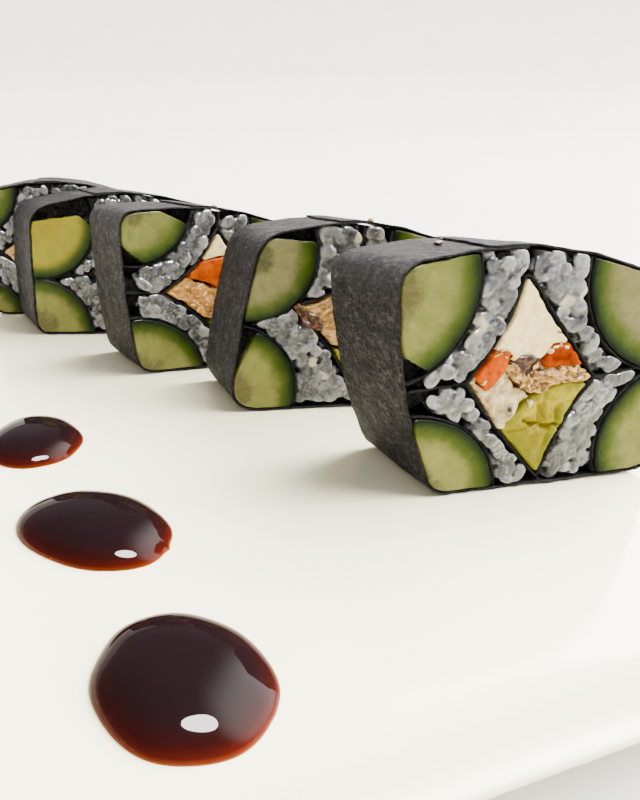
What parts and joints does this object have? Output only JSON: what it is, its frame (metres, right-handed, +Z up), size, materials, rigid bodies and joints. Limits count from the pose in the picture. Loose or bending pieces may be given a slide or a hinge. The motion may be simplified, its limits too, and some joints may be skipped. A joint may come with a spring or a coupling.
{
  "type": "maki sushi roll slices on a platter",
  "caption": "Square sushi roll slices with cucumber corners, rice bands and a filled diamond, standing in a slanting row on a rimmed platter beside drops of glaze.",
  "frame": {"origin": "under the middle of the platter, level with the underside of its foot ring", "axes": "+Z up, +Y along the platter's length away from the front slice, +X to the right as the cut faces are seen"},
  "size_m": [0.22, 0.3, 0.0586],
  "materials": {
    "porcelain": "gloss",
    "nori": "satin",
    "cucumber": "satin",
    "rice": "satin",
    "cream": "satin",
    "carrot": "satin",
    "fish": "matte",
    "avocado": "satin",
    "soy_glaze": "gloss"
  },
  "bodies": {
    "root": {"plate": "porcelain", "roll_1_avocado": "avocado", "roll_1_carrot_left": "carrot", "roll_1_carrot_right": "carrot", "roll_1_cream_low": "cream", "roll_1_cream_top": "cream", "roll_1_cucumber_1": "cucumber", "roll_1_cucumber_2": "cucumber", "roll_1_cucumber_3": "cucumber", "roll_1_cucumber_4": "cucumber", "roll_1_fish": "fish", "roll_1_inner_nori": "nori", "roll_1_nori": "nori", "roll_1_rice_1": "rice", "roll_1_rice_2": "rice", "roll_1_rice_3": "rice", "roll_1_rice_4": "rice", "roll_2_cucumber_1": "cucumber", "roll_2_cucumber_2": "cucumber", "roll_2_cucumber_3": "cucumber", "roll_2_cucumber_4": "cucumber", "roll_2_filling": "fish", "roll_2_nori": "nori", "roll_2_rice_1": "rice", "roll_2_rice_2": "rice", "roll_2_rice_3": "rice", "roll_2_rice_4": "rice", "roll_3_cucumber_1": "cucumber", "roll_3_cucumber_2": "cucumber", "roll_3_cucumber_3": "cucumber", "roll_3_cucumber_4": "cucumber", "roll_3_filling": "fish", "roll_3_nori": "nori", "roll_3_rice_1": "rice", "roll_3_rice_2": "rice", "roll_3_rice_3": "rice", "roll_3_rice_4": "rice", "roll_4_cucumber_1": "cucumber", "roll_4_cucumber_2": "cucumber", "roll_4_cucumber_3": "cucumber", "roll_4_cucumber_4": "cucumber", "roll_4_filling": "fish", "roll_4_nori": "nori", "roll_4_rice_1": "rice", "roll_4_rice_2": "rice", "roll_4_rice_3": "rice", "roll_4_rice_4": "rice", "roll_5_cucumber_1": "cucumber", "roll_5_cucumber_2": "cucumber", "roll_5_cucumber_3": "cucumber", "roll_5_cucumber_4": "cucumber", "roll_5_filling": "fish", "roll_5_nori": "nori", "roll_5_rice_1": "rice", "roll_5_rice_2": "rice", "roll_5_rice_3": "rice", "roll_5_rice_4": "rice", "sauce_1": "soy_glaze", "sauce_2": "soy_glaze", "sauce_3": "soy_glaze"}
  },
  "joints": []
}
